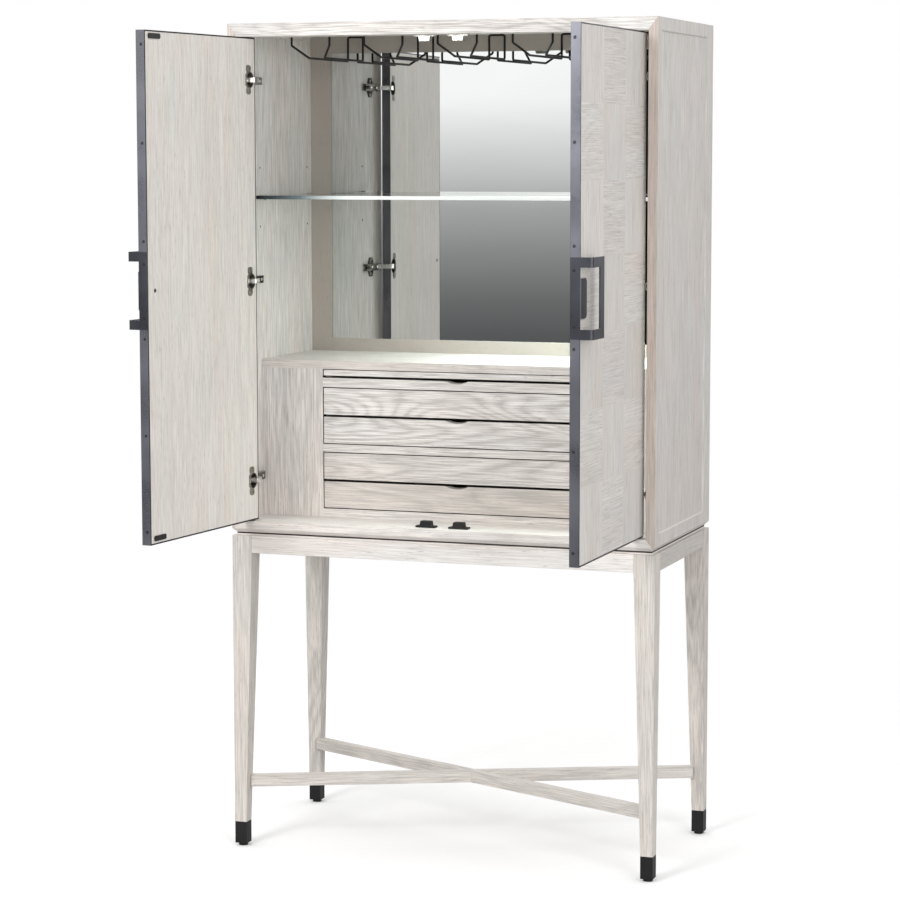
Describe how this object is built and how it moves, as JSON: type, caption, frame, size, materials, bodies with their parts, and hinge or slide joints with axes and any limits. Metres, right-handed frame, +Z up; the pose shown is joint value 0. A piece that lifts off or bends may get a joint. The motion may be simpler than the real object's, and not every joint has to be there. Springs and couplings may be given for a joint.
{
  "type": "drinks cabinet",
  "caption": "Tall drinks cabinet on a tapered-leg stand: two inset doors, mirror back, glass shelf, hanging glass racks, counter, drawers and a pull-out shelf.",
  "frame": {"origin": "on the floor, under the middle of the carcass, midway between the four feet", "axes": "+Z up, +X to the right seen from the front, -Y towards the front, where the doors open"},
  "size_m": [0.9853, 0.8822, 1.79],
  "materials": {
    "limed_oak": "satin",
    "veneered_plywood": "satin",
    "dark_stand_top": "matte",
    "mirror_glass": "polished",
    "clear_glass": "polished",
    "nickel": "satin",
    "black_metal": "satin",
    "black_plastic": "matte",
    "gunmetal": "satin"
  },
  "bodies": {
    "cabinet": {"side_panel_left": "limed_oak", "side_panel_right": "limed_oak", "top_panel": "limed_oak", "bottom_panel": "limed_oak", "counter_top": "limed_oak", "mirror_frame": "limed_oak", "drawer_face_frame": "limed_oak", "drawer_case_sides": "limed_oak", "drawer_runners": "limed_oak", "leg_front_left": "limed_oak", "leg_front_right": "limed_oak", "leg_back_left": "limed_oak", "leg_back_right": "limed_oak", "apron_front": "limed_oak", "apron_back": "limed_oak", "aprons_side": "limed_oak", "cross_stretcher_front_left": "limed_oak", "cross_stretcher_front_right": "limed_oak", "back_panel": "veneered_plywood", "stand_top": "dark_stand_top", "mirror_glass": "mirror_glass", "glass_shelf": "clear_glass", "shelf_clips": "nickel", "hinge_arms": "nickel", "hinge_plates": "nickel", "ceiling_catches": "nickel", "stemware_racks": "black_metal", "leg_ferrules": "black_metal", "floor_catches": "black_plastic"},
    "left_door": {"door_left_panel": "limed_oak", "door_left_hinge_cups": "nickel", "door_left_strike_plates": "black_metal", "door_left_edge_strips": "gunmetal", "door_left_handle": "gunmetal"},
    "right_door": {"door_right_panel": "limed_oak", "door_right_hinge_cups": "nickel", "door_right_strike_plates": "black_metal", "door_right_edge_strips": "gunmetal", "door_right_handle": "gunmetal"},
    "drawer_1": {"drawer_1_front": "limed_oak", "drawer_1_box": "limed_oak", "drawer_1_floor": "veneered_plywood"},
    "drawer_2": {"drawer_2_front": "limed_oak", "drawer_2_box": "limed_oak", "drawer_2_floor": "veneered_plywood"},
    "drawer_3": {"drawer_3_front": "limed_oak", "drawer_3_box": "limed_oak", "drawer_3_floor": "veneered_plywood"},
    "drawer_4": {"drawer_4_front": "limed_oak", "drawer_4_box": "limed_oak", "drawer_4_floor": "veneered_plywood"},
    "pull_out_shelf": {"pull_out_shelf": "limed_oak", "pull_out_shelf_lipping": "limed_oak"},
    "glide_front_left": {"levelling_glide_front_left": "black_plastic"},
    "glide_front_right": {"levelling_glide_front_right": "black_plastic"},
    "glide_back_left": {"levelling_glide_back_left": "black_plastic"},
    "glide_back_right": {"levelling_glide_back_right": "black_plastic"}
  },
  "joints": [
    {"name": "left_door_hinge", "type": "hinge", "parent": "cabinet", "child": "left_door", "pos_m": [-0.436, -0.2195, 1.242], "axis": [0, 0, -1], "range_deg": [-95.4, 9.6]},
    {"name": "right_door_hinge", "type": "hinge", "parent": "cabinet", "child": "right_door", "pos_m": [0.436, -0.2195, 1.242], "axis": [0, 0, 1], "range_deg": [-89.6, 15.4]},
    {"name": "drawer_1_slide", "type": "slide", "parent": "cabinet", "child": "drawer_1", "axis": [0, -1, 0], "range_m": [0, 0.2]},
    {"name": "drawer_2_slide", "type": "slide", "parent": "cabinet", "child": "drawer_2", "axis": [0, -1, 0], "range_m": [0, 0.2]},
    {"name": "drawer_3_slide", "type": "slide", "parent": "cabinet", "child": "drawer_3", "axis": [0, -1, 0], "range_m": [0, 0.2]},
    {"name": "drawer_4_slide", "type": "slide", "parent": "cabinet", "child": "drawer_4", "axis": [0, -1, 0], "range_m": [0, 0.2]},
    {"name": "pull_out_shelf_slide", "type": "slide", "parent": "cabinet", "child": "pull_out_shelf", "axis": [0, -1, 0], "range_m": [0, 0.22]},
    {"name": "glide_front_left_screw", "type": "slide", "parent": "cabinet", "child": "glide_front_left", "axis": [0, 0, -1], "range_m": [0, 0.012]},
    {"name": "glide_front_right_screw", "type": "slide", "parent": "cabinet", "child": "glide_front_right", "axis": [0, 0, -1], "range_m": [0, 0.012]},
    {"name": "glide_back_left_screw", "type": "slide", "parent": "cabinet", "child": "glide_back_left", "axis": [0, 0, -1], "range_m": [0, 0.012]},
    {"name": "glide_back_right_screw", "type": "slide", "parent": "cabinet", "child": "glide_back_right", "axis": [0, 0, -1], "range_m": [0, 0.012]}
  ]
}
